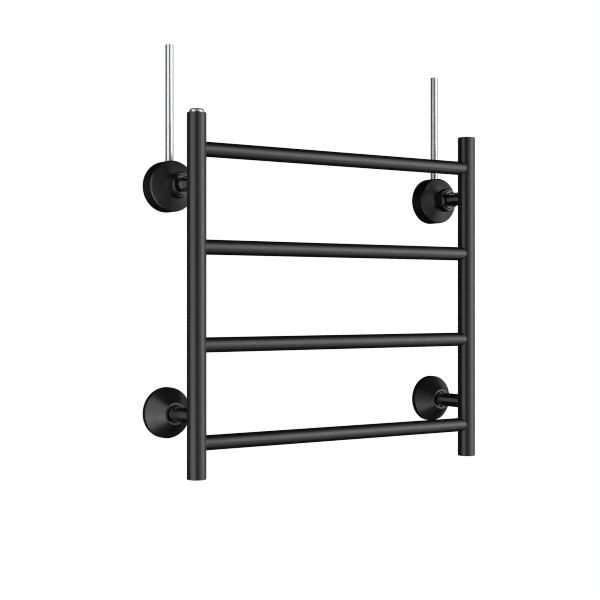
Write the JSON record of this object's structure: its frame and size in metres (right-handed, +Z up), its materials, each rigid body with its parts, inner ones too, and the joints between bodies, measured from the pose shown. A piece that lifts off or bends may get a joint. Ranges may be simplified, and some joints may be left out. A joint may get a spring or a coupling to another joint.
{
  "type": "towel warmer rack",
  "caption": "Wall-hung black ladder towel warmer heated by hot water, with chrome feed pipes, deep round upper cups, conical lower covers and an air vent.",
  "frame": {"origin": "middle of the rack on the wall plane: halfway between the uprights and halfway up them", "axes": "+X to the right along the wall, +Y into the wall, +Z up"},
  "size_m": [0.586, 0.11, 0.637],
  "materials": {
    "black_paint": "satin black powder coat with a fine texture",
    "chrome": "polished",
    "black_chrome": "polished, dark",
    "brass": "machined",
    "steel": "zinc plated",
    "rubber": "matt"
  },
  "bodies": {
    "root": {"left_bottom_disc": "black_paint", "left_compression_nut": "brass", "left_cup": "black_paint", "left_feed_pipe": "chrome", "left_grub_screw": "steel", "left_inlet_elbow": "brass", "left_lower_stub": "black_chrome", "left_olive": "brass", "left_top_boss": "black_paint", "left_union_gasket": "rubber", "left_union_nut": "black_paint", "left_upper_stub": "black_chrome", "left_upright": "black_paint", "left_wall_socket": "steel", "right_bottom_disc": "black_paint", "right_compression_nut": "brass", "right_cup": "black_paint", "right_feed_pipe": "chrome", "right_grub_screw": "steel", "right_inlet_elbow": "brass", "right_lower_stub": "black_chrome", "right_olive": "brass", "right_top_disc": "black_paint", "right_union_gasket": "rubber", "right_union_nut": "black_paint", "right_upper_stub": "black_chrome", "right_upright": "black_paint", "right_wall_socket": "steel", "rung_1": "black_paint", "rung_2": "black_paint", "rung_3": "black_paint", "rung_4": "black_paint", "vent_body": "chrome", "vent_gasket": "rubber"},
    "left_cover": {"left_cover": "black_paint", "left_cover_ring": "rubber"},
    "right_cover": {"right_cover": "black_paint", "right_cover_ring": "rubber"},
    "vent_lift": {"vent_seal": "rubber"},
    "vent_screw": {"vent_screw": "steel"}
  },
  "joints": [
    {"name": "left_cover_slide", "type": "slide", "parent": "root", "child": "left_cover", "axis": [0, -1, 0], "range_m": [0, 0.048]},
    {"name": "right_cover_slide", "type": "slide", "parent": "root", "child": "right_cover", "axis": [0, -1, 0], "range_m": [0, 0.048]},
    {"name": "vent_screw_lift", "type": "slide", "parent": "root", "child": "vent_lift", "axis": [0, 0, 1], "range_m": [0, 0.001]},
    {"name": "vent_screw_turn", "type": "hinge", "parent": "vent_lift", "child": "vent_screw", "pos_m": [-0.255, -0.096, 0.263], "axis": [0, 0, 1], "range_deg": [0, 360]}
  ],
  "couplings": [
    {"joint": "vent_screw_turn", "follows": "vent_screw_lift", "rad_per_m": 6283.2}
  ]
}
